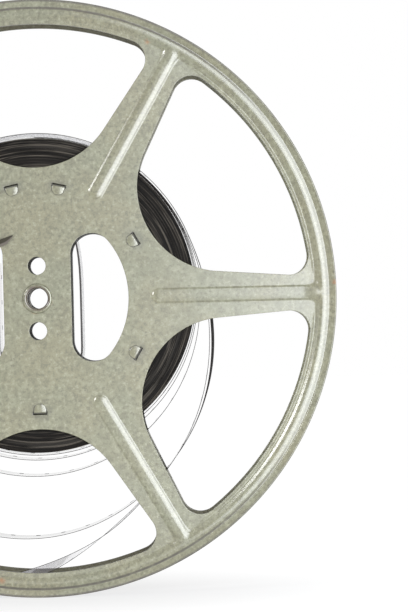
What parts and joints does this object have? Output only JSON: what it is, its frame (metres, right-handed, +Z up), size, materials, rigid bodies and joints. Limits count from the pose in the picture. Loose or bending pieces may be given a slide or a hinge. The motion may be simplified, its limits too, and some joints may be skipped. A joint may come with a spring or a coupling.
{
  "type": "cine film reel",
  "caption": "Cine film reel: pressed sheet flanges with ribbed spokes on a rolled drum, wound with narrow film whose outer turns hang loose; turns on a spindle.",
  "frame": {"origin": "middle of the spindle axis, midway between the flanges", "axes": "+Y along the spindle axis to the rear flange, +Z up through the drum's film slot, +X to the right seen from the front"},
  "size_m": [0.178, 0.0208, 0.178],
  "materials": {
    "flange_paint": "glossy mottled sage-green enamel, lightly worn",
    "eyelet_steel": "painted over and worn through to rusty steel inside",
    "film_dark": "edges of tightly wound film, satin",
    "film_strip": "glossy clear film base with a dark image layer"
  },
  "bodies": {
    "reel": {"front_flange": "flange_paint", "rear_flange": "flange_paint", "core_drum": "flange_paint", "front_eyelet": "eyelet_steel", "rear_eyelet": "eyelet_steel"},
    "film": {"film_pack": "film_dark", "film_loose_turns": "film_strip", "film_inner_end": "film_strip"}
  },
  "joints": [
    {"name": "film_slip", "type": "hinge", "parent": "reel", "child": "film", "pos_m": [0, 0, 0], "axis": [0, 1, 0], "range_deg": [-2.5, 2.5]}
  ]
}
